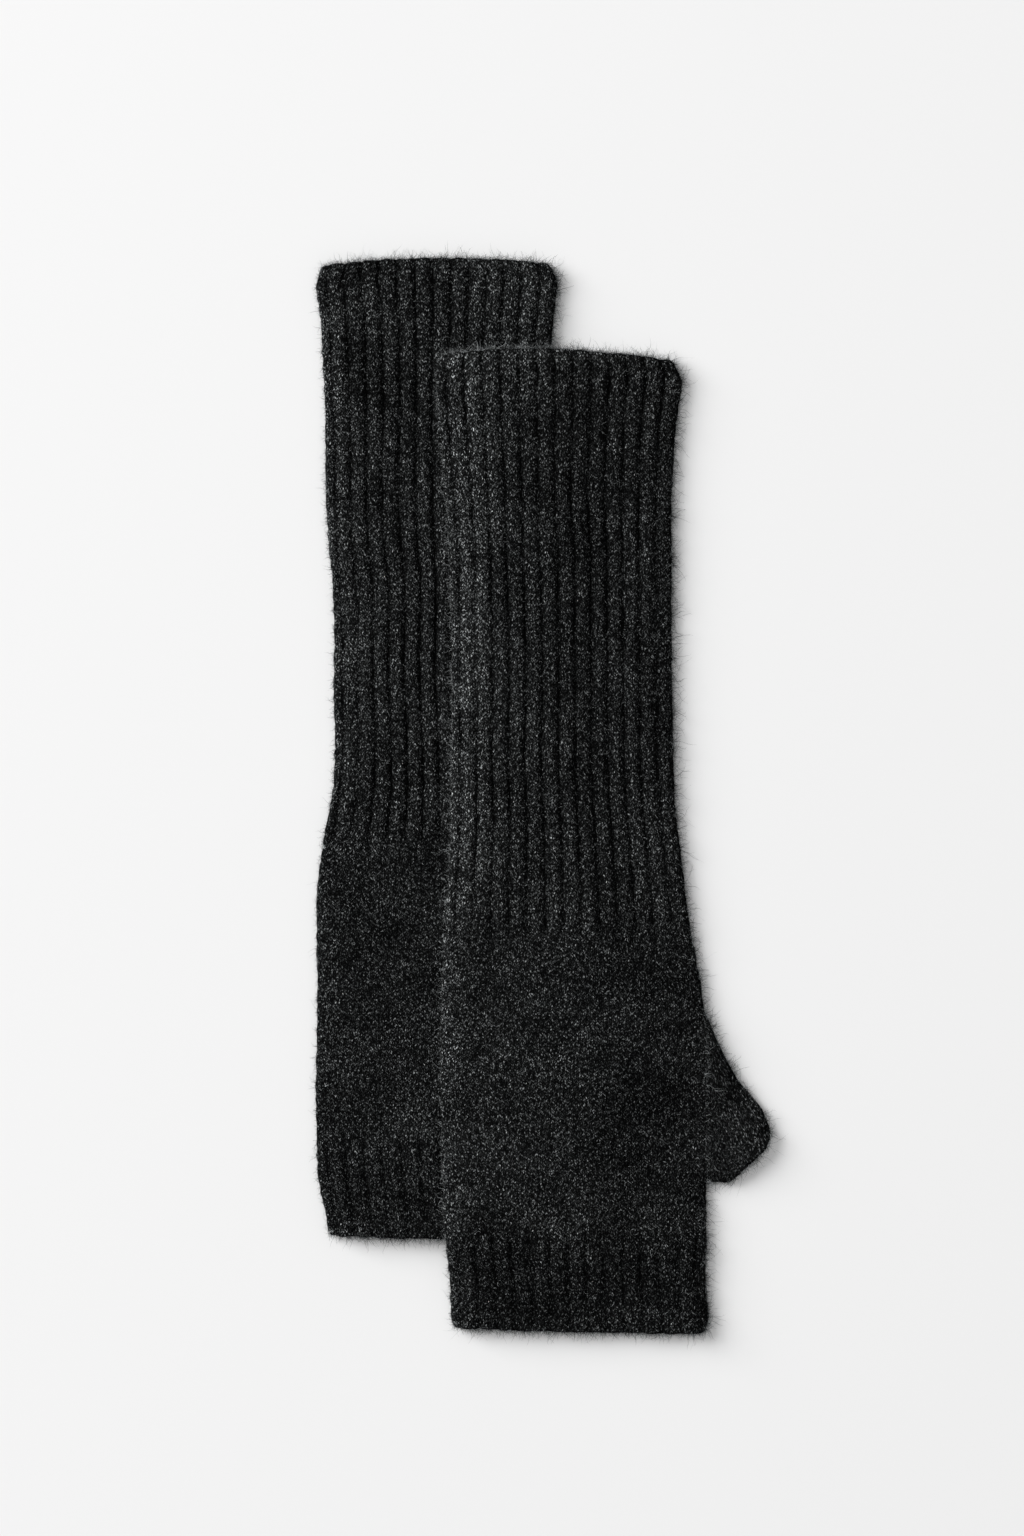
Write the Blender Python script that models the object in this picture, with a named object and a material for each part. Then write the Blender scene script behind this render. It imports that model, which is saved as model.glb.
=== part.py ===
"""A pair of long fingerless knit mittens that lie flat, one lapped over the other.

Each mitten is a knitted tube, flattened: a ribbed arm, a plain hand with a short thumb tube at
its right side, and a ribbed band round the fingers. The back mitten lies on the surface. The
front mitten lies over its right half, follows the edge of the hand and thumb beneath it, and
comes down to the surface beyond them.

Every piece is a closed wall of knit round a thin hollow. Sizes are in millimetres. +X is the
thumb side, +Y runs to the arm ends, +Z is up, and z = 0 is the surface that the pair lies on.
"""
import math
from collections import namedtuple

import bmesh
import bpy
from mathutils import Vector

MM = 0.001

# ---- Driving sizes, in millimetres -------------------------------------------------------

ARM_LENGTH = 198.5
HAND_LENGTH = 110.5
BAND_LENGTH = 32.0
MITTEN_LENGTH = ARM_LENGTH + HAND_LENGTH + BAND_LENGTH

WALL = 1.9              # plain knit
HOLLOW = 0.8            # between the upper and the lower layer of a flattened tube
RIB_RISE = 0.8          # crest of a rib above the plain wall
RIB_SINK = 0.3          # valley between ribs below the plain wall
ARM_RIBS = 13.5         # ribs across the upper layer
BAND_RIBS = 14.0
RIB_ROUNDNESS = 0.7     # below 1 the ribs are round with narrow valleys
RIB_POINTS = 4          # points across each rib
RIB_START = 0.02        # share of the width between a fold and the first point on the ribs
RIB_FADE = 9.0          # the plain hand thins from the rib's height over this length

SEAM_GAP = 0.3
LAP_GAP = 0.3           # between the two mittens
DRAPE_INSET = 2.5       # the front mitten starts down this far inside the edge beneath it
DRAPE_RUN = 26.0        # and reaches the surface over this distance
FOLD_ROUND = 9.0        # the upper layer rounds down to the side folds over this width
FOLD_STEPS = (0.0, 0.05, 0.17, 0.35, 0.6, 1.0)    # points on that rounding, as shares of it
TUCK_STEPS = 3          # steps round the tight lower half of a fold
END_REACH = 30.0        # the bow of an end edge fades out over this length

PLAIN_HEIGHT = 2 * WALL + HOLLOW
RIB_HEIGHT = PLAIN_HEIGHT + RIB_RISE

# One row for each section of a mitten: its distance from the arm end, and where its left and
# right edges lie from the mitten's centre line. The right edge leaves out the thumb.
Section = namedtuple("Section", "station left right")

BACK_SECTIONS = (
    Section(0.0, -42.7, 39.2),
    Section(6.0, -43.6, 40.9),
    Section(19.0, -42.3, 39.5),
    Section(47.0, -40.8, 37.6),
    Section(89.0, -39.9, 37.1),
    Section(117.0, -37.8, 37.1),
    Section(152.0, -37.5, 37.5),
    Section(180.0, -37.5, 39.2),
    Section(197.0, -40.4, 42.0),
    Section(208.0, -42.0, 43.8),
    Section(222.0, -43.4, 47.3),
    Section(257.0, -43.4, 49.0),
    Section(292.0, -43.8, 49.4),
    Section(319.0, -43.1, 49.0),
    Section(334.0, -40.6, 50.1),
    Section(341.0, -39.6, 49.7),
)

FRONT_SECTIONS = (
    Section(0.0, -43.0, 40.0),
    Section(6.0, -43.7, 42.2),
    Section(22.0, -42.8, 40.4),
    Section(50.0, -40.6, 38.6),
    Section(71.0, -39.2, 38.7),
    Section(98.0, -38.6, 38.6),
    Section(155.0, -38.5, 39.8),
    Section(176.0, -39.2, 42.2),
    Section(198.0, -40.6, 44.8),
    Section(210.0, -41.3, 47.2),
    Section(225.0, -42.0, 49.6),
    Section(238.0, -42.3, 50.1),
    Section(288.0, -41.6, 50.6),
    Section(309.0, -40.6, 50.8),
    Section(323.0, -39.2, 50.5),
    Section(336.0, -38.8, 51.5),
    Section(341.0, -38.5, 51.2),
)

# One row for each section of the thumb: where its upper edge lies, as the distance from the
# arm end and the reach to the right of the seam, and the reach of its lower edge.
ThumbSection = namedtuple("ThumbSection", "station reach lower_reach")

THUMB_SECTIONS = (
    ThumbSection(224.7, 0.0, 0.0),
    ThumbSection(231.7, 3.3, 1.4),
    ThumbSection(238.7, 6.2, 2.8),
    ThumbSection(245.7, 9.6, 4.2),
    ThumbSection(252.7, 13.5, 5.6),
    ThumbSection(259.7, 18.6, 7.1),
    ThumbSection(266.7, 23.6, 8.6),
    ThumbSection(273.3, 26.2, 10.0),
)
CROTCH_STATION = 288.8      # where the thumb's lower edge leaves the hand
THUMB_COLUMNS = 9

# A mitten's place and what differs in how it lies. The bows lift the middle of an end edge
# outwards, and the tilts raise its left corner above its right one.
Mitten = namedtuple(
    "Mitten",
    "name x arm_end sections thumb_seam arm_bow arm_tilt band_bow band_tilt columns rows",
)

BACK = Mitten(
    name="back", x=-36.52, arm_end=186.2, sections=BACK_SECTIONS, thumb_seam=46.9,
    arm_bow=2.4, arm_tilt=-0.6, band_bow=0.6, band_tilt=1.2,
    columns=8, rows={"arm_rib": 12, "hand": 14, "finger_rib": 5},
)
FRONT = Mitten(
    name="front", x=5.78, arm_end=153.4, sections=FRONT_SECTIONS, thumb_seam=48.2,
    arm_bow=3.0, arm_tilt=2.0, band_bow=0.3, band_tilt=2.0,
    columns=24, rows={"arm_rib": 12, "hand": 18, "finger_rib": 9},
)

HAND_COLUMNS = 24       # points across a plain hand's upper layer

CHARCOAL = (0.014, 0.015, 0.015, 1.0)
CHARCOAL_RIB = (0.011, 0.012, 0.012, 1.0)
KNIT_ROUGHNESS = 0.95


# ---- Curves and heights ------------------------------------------------------------------

def smooth(value):
    """Ease from 0 to 1."""
    value = min(max(value, 0.0), 1.0)
    return value * value * (3.0 - 2.0 * value)


def along(rows, station, column):
    """A column of a table at any station, on a smooth curve through the rows."""
    stations = [row.station for row in rows]
    values = [getattr(row, column) for row in rows]
    if station <= stations[0]:
        return values[0]
    if station >= stations[-1]:
        return values[-1]
    index = max(i for i, start in enumerate(stations) if start <= station)

    def slope(i):
        low = max(i - 1, 0)
        high = min(i + 1, len(rows) - 1)
        return (values[high] - values[low]) / (stations[high] - stations[low])

    span = stations[index + 1] - stations[index]
    t = (station - stations[index]) / span
    start_weight = 2 * t ** 3 - 3 * t ** 2 + 1
    end_weight = 1 - start_weight
    start_slope = t ** 3 - 2 * t ** 2 + t
    end_slope = t ** 3 - t ** 2
    return (start_weight * values[index] + end_weight * values[index + 1]
            + span * (start_slope * slope(index) + end_slope * slope(index + 1)))


def rib_dip(fraction, ribs):
    """How far a ribbed layer dips below its crests at a fraction of the way across it."""
    phase = (fraction * ribs - 0.5) % 1.0
    wave = abs(math.sin(math.pi * phase)) ** RIB_ROUNDNESS
    return (RIB_RISE + RIB_SINK) * (1.0 - wave)


def body_height(station):
    """Greatest height of a flattened mitten above what it lies on."""
    into_hand = station - ARM_LENGTH
    to_band = ARM_LENGTH + HAND_LENGTH - station
    fade = smooth(min(into_hand, to_band) / RIB_FADE)
    return RIB_HEIGHT + (PLAIN_HEIGHT - RIB_HEIGHT) * fade


def end_shift(mitten, station, fraction):
    """How far the bowed and tilted end edges move a point along Y."""
    middle = 1.0 - (2.0 * fraction - 1.0) ** 2
    lean = 0.5 - fraction
    arm_share = max(0.0, 1.0 - station / END_REACH)
    band_share = max(0.0, 1.0 - (MITTEN_LENGTH - station) / END_REACH)
    arm = mitten.arm_bow * middle + mitten.arm_tilt * lean
    band = mitten.band_tilt * lean - mitten.band_bow * middle
    return arm * arm_share + band * band_share


def thumb_edges(mitten):
    """The thumb's sections as pairs of upper and lower points on the surface."""
    pairs = []
    for row in THUMB_SECTIONS:
        x = mitten.x + mitten.thumb_seam + SEAM_GAP / 2
        upper = Vector((x + row.reach, mitten.arm_end - row.station))
        lower = Vector((x + row.lower_reach, mitten.arm_end - CROTCH_STATION))
        pairs.append((upper, lower))
    return pairs


def outline(mitten, step=4.0):
    """The mitten's outline seen from above, thumb included, as points in order."""
    count = round(MITTEN_LENGTH / step)
    stations = [MITTEN_LENGTH * i / count for i in range(count + 1)]
    left = []
    right = []
    for station in stations:
        y = mitten.arm_end - station
        left_x = along(mitten.sections, station, "left")
        right_x = along(mitten.sections, station, "right")
        left.append(Vector((mitten.x + left_x, y + end_shift(mitten, station, 0.0))))
        right.append(Vector((mitten.x + right_x, y + end_shift(mitten, station, 1.0))))
    pairs = thumb_edges(mitten)
    thumb = [upper for upper, lower in pairs] + [pairs[-1][1]]
    before = [p for p in right if p.y > pairs[0][0].y]
    after = [p for p in right if p.y < pairs[0][1].y]
    return before + thumb + after + left[::-1]


def distance_outside(point, edge):
    """Distance from a point to a closed outline, negative inside it."""
    inside = False
    nearest = math.inf
    for start, end in zip(edge, edge[1:] + edge[:1]):
        if (start.y > point.y) != (end.y > point.y):
            crossing = start.x + (point.y - start.y) * (end.x - start.x) / (end.y - start.y)
            inside = inside != (point.x < crossing)
        run = end - start
        share = min(max((point - start).dot(run) / run.length_squared, 0.0), 1.0)
        nearest = min(nearest, (start + run * share - point).length)
    return -nearest if inside else nearest


BACK_OUTLINE = outline(BACK)


def drape(mitten, x, y):
    """Height of the surface that a mitten's underside lies on."""
    if mitten is BACK:
        return 0.0
    away = distance_outside(Vector((x, y)), BACK_OUTLINE)
    fall = smooth((away + DRAPE_INSET) / DRAPE_RUN)
    return (body_height(BACK.arm_end - y) + LAP_GAP) * (1.0 - fall)


# ---- Sections ----------------------------------------------------------------------------

# A loop is a list of (turn, across, height): turn runs from 0 to 1 over the upper layer and
# from 1 to 2 back under it, and pairs up the points of unlike loops.
Ring = namedtuple("Ring", "outer inner place")


def spread(count):
    """Evenly spaced fractions, both ends included."""
    return [i / (count - 1) for i in range(count)]


def crown(across, width, full):
    """Height of a flattened tube's upper layer, which rounds down to the folds."""
    reach = min(across, width - across, FOLD_ROUND) / FOLD_ROUND
    return WALL + (full - WALL) * math.sqrt(1.0 - (1.0 - reach) ** 2)


def upper_marks(width, columns):
    """Distances across the upper layer: close together on the folds, even between them."""
    level = width - 2 * FOLD_ROUND
    left = [FOLD_ROUND * step for step in FOLD_STEPS]
    middle = [FOLD_ROUND + level * fraction for fraction in spread(columns)[1:-1]]
    return left + middle + [width - mark for mark in reversed(left)]


def outer_loop(width, marks, height_at, columns_low):
    """The outer face of a flattened tube: crowned above, flat below."""
    points = [(mark / width, mark, height_at(mark)) for mark in marks]
    tuck = []
    for step in range(1, TUCK_STEPS):
        angle = math.pi / 2 * step / TUCK_STEPS
        tuck.append((WALL * (1.0 - math.cos(angle)), WALL * (1.0 - math.sin(angle))))
    points += [(1.0 + inset / width, width - inset, height) for inset, height in tuck]
    for fraction in reversed(spread(columns_low)):
        across = WALL + (width - 2 * WALL) * fraction
        points.append((2.0 - across / width, across, 0.0))
    points += [(2.0 - inset / width, inset, height) for inset, height in reversed(tuck)]
    return points


def inner_loop(width, columns):
    """The inner face of a flattened tube, round its thin hollow."""
    ends = WALL + HOLLOW / 2
    across_at = [ends + (width - 2 * ends) * fraction for fraction in spread(columns)]
    points = [(WALL / width, WALL, WALL + HOLLOW / 2)]
    points += [(across / width, across, WALL + HOLLOW) for across in across_at]
    points.append((1.0, width - WALL, WALL + HOLLOW / 2))
    points += [(2.0 - across / width, across, WALL) for across in reversed(across_at)]
    return points


def rib_marks(width, ribs):
    """Distances across the upper layer where a rib's valley, sides and crest lie."""
    steps = range(round((ribs + 1) * RIB_POINTS))
    marks = [width * (step / RIB_POINTS - 0.5) / ribs for step in steps]
    edge = width * RIB_START
    inside = [mark for mark in marks if edge < mark < width - edge]
    start = [0.0, edge / 3, edge]
    return start + inside + [width - mark for mark in reversed(start)]


def body_ring(mitten, station, ribs):
    """The section of an arm, hand or band at a station."""
    left = along(mitten.sections, station, "left")
    width = along(mitten.sections, station, "right") - left

    def height_at(across):
        height = crown(across, width, body_height(station))
        if ribs:
            share = min(across, width - across, FOLD_ROUND) / FOLD_ROUND
            height -= rib_dip(across / width, ribs) * share
        return height

    marks = rib_marks(width, ribs) if ribs else upper_marks(width, HAND_COLUMNS)
    outer = outer_loop(width, marks, height_at, mitten.columns)
    inner = inner_loop(width, mitten.columns)

    def place(across, height):
        x = mitten.x + left + across
        y = mitten.arm_end - station + end_shift(mitten, station, across / width)
        return Vector((x, y, height + drape(mitten, x, y)))

    return Ring(outer, inner, place)


def thumb_ring(mitten, upper, lower):
    """A section of the thumb, standing on the line from its upper to its lower edge."""
    width = (lower - upper).length
    direction = (lower - upper).normalized()
    marks = upper_marks(width, THUMB_COLUMNS)
    outer = outer_loop(width, marks, lambda across: crown(across, width, PLAIN_HEIGHT),
                       THUMB_COLUMNS)
    inner = inner_loop(width, THUMB_COLUMNS)

    def place(across, height):
        point = upper + direction * across
        return Vector((point.x, point.y, height + drape(mitten, point.x, point.y)))

    return Ring(outer, inner, place)


# ---- Meshes ------------------------------------------------------------------------------

def zip_loops(mesh, outer, outer_turns, inner, inner_turns):
    """Close the end of a wall with triangles between its outer and inner loop."""
    i = 0
    j = 0
    while i < len(outer) or j < len(inner):
        next_outer = outer_turns[i + 1] if i + 1 < len(outer) else outer_turns[0] + 2.0
        next_inner = inner_turns[j + 1] if j + 1 < len(inner) else inner_turns[0] + 2.0
        step_outer = j >= len(inner) or (i < len(outer) and next_outer <= next_inner)
        here_outer = outer[i % len(outer)]
        here_inner = inner[j % len(inner)]
        if step_outer:
            i += 1
            mesh.faces.new((here_outer, outer[i % len(outer)], here_inner))
        else:
            j += 1
            mesh.faces.new((here_outer, inner[j % len(inner)], here_inner))


def join_rings(mesh, before, after):
    """Close the strip between two loops with the same number of points."""
    count = len(before)
    for i in range(count):
        following = (i + 1) % count
        mesh.faces.new((before[i], before[following], after[following], after[i]))


def tube(name, rings, collection, material, parent):
    """A closed wall of knit through its rings, open at both ends of the tube."""
    mesh = bmesh.new()
    outer_loops = []
    inner_loops = []
    for ring in rings:
        outer = [mesh.verts.new(ring.place(across, height) * MM)
                 for turn, across, height in ring.outer]
        inner = [mesh.verts.new(ring.place(across, height) * MM)
                 for turn, across, height in ring.inner]
        outer_loops.append(outer)
        inner_loops.append(inner)
    for loops in (outer_loops, inner_loops):
        for before, after in zip(loops, loops[1:]):
            join_rings(mesh, before, after)
    for end in (0, -1):
        outer_turns = [point[0] for point in rings[end].outer]
        inner_turns = [point[0] for point in rings[end].inner]
        zip_loops(mesh, outer_loops[end], outer_turns, inner_loops[end], inner_turns)
    bmesh.ops.recalc_face_normals(mesh, faces=mesh.faces)
    data = bpy.data.meshes.new(name)
    mesh.to_mesh(data)
    mesh.free()
    data.materials.append(material)
    data.shade_smooth()
    piece = bpy.data.objects.new(name, data)
    piece.parent = parent
    collection.objects.link(piece)
    return piece


def knit(name, color):
    """A matte knit material."""
    material = bpy.data.materials.new(name)
    material.use_nodes = True
    shader = material.node_tree.nodes["Principled BSDF"]
    shader.inputs["Base Color"].default_value = color
    shader.inputs["Roughness"].default_value = KNIT_ROUGHNESS
    shader.inputs["Metallic"].default_value = 0.0
    return material


def collection_named(name):
    """A new collection in the scene."""
    collection = bpy.data.collections.new(name)
    bpy.context.scene.collection.children.link(collection)
    return collection


# ---- Pieces ------------------------------------------------------------------------------

def body_piece(mitten, part, start, end, ribs, collection, material, parent):
    """An arm, hand or band between two stations."""
    count = mitten.rows[part]
    stations = [start + (end - start) * fraction for fraction in spread(count)]
    rings = [body_ring(mitten, station, ribs) for station in stations]
    return tube(f"{mitten.name}_{part}", rings, collection, material, parent)


def open_thumb_hole(mitten, hand, cutters):
    """Cut the hand's right fold away where the thumb joins it."""
    top = mitten.arm_end - THUMB_SECTIONS[0].station + SEAM_GAP
    bottom = mitten.arm_end - CROTCH_STATION - SEAM_GAP
    left = mitten.x + mitten.thumb_seam - SEAM_GAP / 2
    depth = 30.0
    mesh = bmesh.new()
    bmesh.ops.create_cube(mesh, size=1.0)
    size = Vector((depth, top - bottom, depth))
    bmesh.ops.scale(mesh, vec=size * MM, verts=mesh.verts)
    data = bpy.data.meshes.new(f"{mitten.name}_thumb_hole")
    mesh.to_mesh(data)
    mesh.free()
    cutter = bpy.data.objects.new(data.name, data)
    cutter.location = Vector((left + depth / 2, (top + bottom) / 2, 0.0)) * MM
    cutter.display_type = "WIRE"
    cutter.hide_render = True
    cutters.objects.link(cutter)
    cut = hand.modifiers.new("thumb_hole", "BOOLEAN")
    cut.operation = "DIFFERENCE"
    cut.solver = "EXACT"
    cut.object = cutter


def build_mitten(mitten, pieces, cutters, plain, ribbed):
    """All the pieces of one mitten."""
    parent = bpy.data.objects.new(f"{mitten.name}_mitten", None)
    pieces.objects.link(parent)
    half = SEAM_GAP / 2
    hand_start = ARM_LENGTH
    band_start = ARM_LENGTH + HAND_LENGTH
    body_piece(mitten, "arm_rib", 0.0, hand_start - half, ARM_RIBS, pieces, ribbed, parent)
    hand = body_piece(mitten, "hand", hand_start + half, band_start - half, 0,
                      pieces, plain, parent)
    body_piece(mitten, "finger_rib", band_start + half, MITTEN_LENGTH, BAND_RIBS,
               pieces, ribbed, parent)
    rings = [thumb_ring(mitten, upper, lower) for upper, lower in thumb_edges(mitten)]
    tube(f"{mitten.name}_thumb", rings, pieces, plain, parent)
    open_thumb_hole(mitten, hand, cutters)


def main():
    for item in list(bpy.data.objects):
        bpy.data.objects.remove(item)
    pieces = collection_named("mittens")
    cutters = collection_named("mitten_cutters")
    plain = knit("charcoal_knit", CHARCOAL)
    ribbed = knit("charcoal_rib", CHARCOAL_RIB)
    for mitten in (BACK, FRONT):
        build_mitten(mitten, pieces, cutters, plain, ribbed)


main()
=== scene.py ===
"""Looks of a pair of long fingerless mittens in brushed charcoal knit, lying flat on a pale floor.

Each solid is replaced by a fine closed wall of knit with its ribs, soft creases and rounded
rims, and with a fuzz of loose fibres. Sizes are in millimetres in the solids' own frame: +X is
the thumb side, +Y runs to the arm ends and +Z is up.
"""
import math
from collections import namedtuple

import bmesh
import bpy
import numpy as np
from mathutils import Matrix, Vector


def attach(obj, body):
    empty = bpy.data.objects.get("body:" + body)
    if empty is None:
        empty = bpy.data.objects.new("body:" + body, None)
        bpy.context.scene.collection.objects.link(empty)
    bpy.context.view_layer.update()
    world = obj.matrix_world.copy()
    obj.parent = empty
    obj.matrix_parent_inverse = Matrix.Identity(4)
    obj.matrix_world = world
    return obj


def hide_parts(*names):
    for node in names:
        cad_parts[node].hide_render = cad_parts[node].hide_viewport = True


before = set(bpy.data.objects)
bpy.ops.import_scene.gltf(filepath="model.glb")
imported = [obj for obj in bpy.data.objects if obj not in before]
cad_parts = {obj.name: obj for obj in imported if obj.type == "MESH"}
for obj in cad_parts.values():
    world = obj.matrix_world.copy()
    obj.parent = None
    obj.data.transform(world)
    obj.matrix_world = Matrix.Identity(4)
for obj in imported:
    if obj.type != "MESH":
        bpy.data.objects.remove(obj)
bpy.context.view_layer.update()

MM = 0.001
TINY = 1e-9

# ---- The mittens' sizes, as in the solids ----

ARM_LENGTH = 198.5
HAND_LENGTH = 110.5
BAND_LENGTH = 32.0
BAND_START = ARM_LENGTH + HAND_LENGTH
MITTEN_LENGTH = BAND_START + BAND_LENGTH

WALL = 1.9  # plain knit
HOLLOW = 0.8  # between the upper and the lower layer of a flattened tube
RIB_RISE = 0.8  # crest of a rib above the plain wall
RIB_SINK = 0.3  # valley between ribs below the plain wall
ARM_RIBS = 13.5  # ribs across the upper layer
BAND_RIBS = 14.0
RIB_ROUNDNESS = 0.5  # rounder ribs with narrower valleys than the solids'
RIB_FADE = 9.0  # the plain hand thins from the rib's height over this length
LAP_GAP = 0.3  # between the two mittens
DRAPE_INSET = 2.5  # the front mitten starts down this far inside the edge beneath it
DRAPE_RUN = 26.0  # and reaches the surface over this distance
FOLD_ROUND = 9.0  # the upper layer rounds down to the side folds over this width
END_REACH = 30.0  # the bow of an end edge fades out over this length
PLAIN_HEIGHT = 2 * WALL + HOLLOW
RIB_HEIGHT = PLAIN_HEIGHT + RIB_RISE

# A section of a mitten: its distance from the arm end, and where its left and right edges lie
# from the mitten's centre line. The right edge leaves out the thumb.
Section = namedtuple("Section", "station left right")

BACK_SECTIONS = [Section(*row) for row in (
    (0.0, -42.7, 39.2),
    (6.0, -43.6, 40.9),
    (19.0, -42.3, 39.5),
    (47.0, -40.8, 37.6),
    (89.0, -39.9, 37.1),
    (117.0, -37.8, 37.1),
    (152.0, -37.5, 37.5),
    (180.0, -37.5, 39.2),
    (197.0, -40.4, 42.0),
    (208.0, -42.0, 43.8),
    (222.0, -43.4, 47.3),
    (257.0, -43.4, 49.0),
    (292.0, -43.8, 49.4),
    (319.0, -43.1, 49.0),
    (334.0, -40.6, 50.1),
    (341.0, -39.6, 49.7),
)]

FRONT_SECTIONS = [Section(*row) for row in (
    (0.0, -43.0, 40.0),
    (6.0, -43.7, 42.2),
    (22.0, -42.8, 40.4),
    (50.0, -40.6, 38.6),
    (71.0, -39.2, 38.7),
    (98.0, -38.6, 38.6),
    (155.0, -38.5, 39.8),
    (176.0, -39.2, 42.2),
    (198.0, -40.6, 44.8),
    (210.0, -41.3, 47.2),
    (225.0, -42.0, 49.6),
    (238.0, -42.3, 50.1),
    (288.0, -41.6, 50.6),
    (309.0, -40.6, 50.8),
    (323.0, -39.2, 50.5),
    (336.0, -38.8, 51.5),
    (341.0, -38.5, 51.2),
)]

# A section of the thumb: its upper edge's station and reach to the right of the seam, and its
# lower edge's reach.
ThumbSection = namedtuple("ThumbSection", "station reach lower_reach")

THUMB_SECTIONS = [ThumbSection(*row) for row in (
    (224.7, 0.0, 0.0),
    (231.7, 3.3, 1.4),
    (238.7, 6.2, 2.8),
    (245.7, 9.6, 4.2),
    (252.7, 13.5, 5.6),
    (259.7, 18.6, 7.1),
    (266.7, 23.6, 8.6),
    (273.3, 26.2, 10.0),
)]
CROTCH_STATION = 288.8  # where the thumb's lower edge leaves the hand

Mitten = namedtuple(
    "Mitten", "name x arm_end sections thumb_seam arm_bow arm_tilt band_bow band_tilt seed")
BACK = Mitten("back", -36.52, 186.2, BACK_SECTIONS, 46.9, 2.4, -0.6, 0.6, 1.2, 11)
FRONT = Mitten("front", 5.78, 153.4, FRONT_SECTIONS, 48.2, 3.0, 2.0, 0.3, 2.0, 23)

# ---- The finer form ----

RIB_START = 4.0  # ribs reach their full depth this far from a side fold
RIB_TAIL = 7.0  # ribs fade out into the plain hand over this length
RIB_WANDER = 0.5  # how far a rib strays sideways
WANDER_SIZE = 23.0  # and over what length
RIB_UNEVEN = 0.35  # share by which a rib's depth varies
UNEVEN_SIZE = 9.0
BAND_DEPTH = 0.7  # the depth of a finger band's ribs, as a share of the arm's
LUMP = 0.16  # general unevenness of the upper layers
LUMP_SIZES = (11.0, 4.0)  # of the large lumps and of the small ones, half as high
NOMINAL_WIDTH = 80.0  # a mitten's rough width, which turns a share of it into a distance
LIP = 0.9  # reach of the rounded rims at the openings
LIP_TURN = 2.6  # angle that a rim is carried round
LIP_RINGS = 6  # rings of points on that turn
RIM_NOTCH = 0.5  # share by which a rim draws back between ribs
RIM_WANDER = 0.25  # how far a rim strays
RIM_SIZE = 1.7
RIM_SPAN = 60.0  # distance that half a turn round a rim stands for
RIM_SEED = 5
EDGE_WANDER = 0.3  # how far the side folds stray
LEFT_SIZE = 2.2  # over what length, for the left fold
RIGHT_SIZE = 2.0  # and for the right one
RIGHT_START = 9.5  # keeps the right fold's strays unlike the left one's
JOIN = 0.004  # each piece ends this far from a join
CORNER = 3.0  # roundness of a body's corners, seen from above
THUMB_TIP = 6.0  # and of a thumb's upper corner
THUMB_HEEL = 2.0  # and lower corner
CORNER_REACH = 14.0  # how far along the piece the rounding is felt
THUMB_EASE = 1.8  # the rounded thumb reaches this much further

WALES = 64  # columns of stitches across one layer
COURSE = 0.95  # height of a row of stitches
THUMB_WALE = 1.3  # width of a column of stitches on the thumb
VALLEY_GAIN = 1.15  # painted shade: a valley is fully shaded a little above its floor
UNDER_SHADE = 0.3  # painted shade of the lower layer
INNER_SHADE = 0.8  # and painted shade of the inner faces

# Soft ridges (+) and troughs (-), each from one point to another.
Crease = namedtuple("Crease", "x1 y1 x2 y2 width height")
FRONT_CREASES = (
    Crease(-27.0, -130.5, 22.0, -131.5, 4.5, 0.45),
    Crease(34.0, -118.0, 54.0, -120.5, 6.0, -0.8),
    Crease(12.0, -153.0, 30.0, -150.0, 6.0, -0.6),
    Crease(20.0, 140.0, 31.0, 122.0, 8.0, 0.5),
    Crease(-6.0, 148.0, 14.0, 108.0, 7.0, -0.45),
    Crease(8.0, 84.0, 20.0, 66.0, 8.0, 0.4),
    Crease(-20.0, 20.0, -14.0, -24.0, 7.0, -0.3),
    Crease(28.0, -40.0, 44.0, -84.0, 7.0, 0.4),
    Crease(6.0, -60.0, 30.0, -92.0, 8.0, -0.35),
    Crease(-30.0, -88.0, -8.0, -100.0, 7.0, 0.3),
)
BACK_CREASES = (
    Crease(-70.0, 160.0, -58.0, 130.0, 8.0, 0.3),
    Crease(-66.0, 60.0, -54.0, 20.0, 7.0, -0.35),
    Crease(-72.0, -40.0, -50.0, -58.0, 7.0, 0.3),
    Crease(-78.0, -104.0, -52.0, -110.0, 6.0, -0.35),
    Crease(-14.0, 176.0, -2.0, 164.0, 6.0, 0.2),
)

# Painted light (+) and painted shade (-): stretches of the upper layer's colour made lighter or
# darker, by a share in place of a height.
FRONT_PAINTED_LIGHT = (
    Crease(-28.0, 148.0, -26.0, 92.0, 8.0, 1.0),
    Crease(-27.0, 74.0, -28.5, -34.0, 8.0, 1.15),
    Crease(-34.5, -40.0, -35.0, -180.0, 4.5, 0.6),
    Crease(-36.0, 153.0, 20.0, 155.0, 3.0, 1.0),
    Crease(26.0, 130.0, 28.0, 10.0, 14.0, -0.12),
    Crease(26.0, -70.0, 42.0, -118.0, 24.0, -0.3),
    Crease(-20.0, -174.0, 50.0, -176.0, 18.0, -0.4),
)
BACK_PAINTED_LIGHT = (
    Crease(-76.0, 170.0, -72.0, 0.0, 9.0, 0.35),
    Crease(-12.0, 180.0, -6.0, 160.0, 16.0, 0.35),
    Crease(-58.0, -30.0, -58.0, -100.0, 30.0, -0.15),
    Crease(-70.0, -140.0, -40.0, -142.0, 14.0, -0.38),
)

# Spacing of the sections, and points across the upper layer.
ROW_STEP = {"arm_rib": 1.0, "hand": 0.95, "finger_rib": 0.8, "thumb": 0.9}
TOP_COLUMNS = {"arm_rib": 172, "hand": 156, "finger_rib": 186, "thumb": 84}
FOLD_COLUMNS = 16  # points on each rounded fold
TUCK_COLUMNS = 5  # points round the tight lower half of a fold
LOW_COLUMNS = 34  # points across the flat underside
INNER_COLUMNS = 10  # points across each layer's inner face
INNER_STEP = 6.0  # spacing of the inner face's sections
FOLD_MOST = 2.2  # a narrow section is at least this many folds wide

SEED = 7
rng = np.random.default_rng(SEED)


# ---- Curves and fields ----

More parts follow.
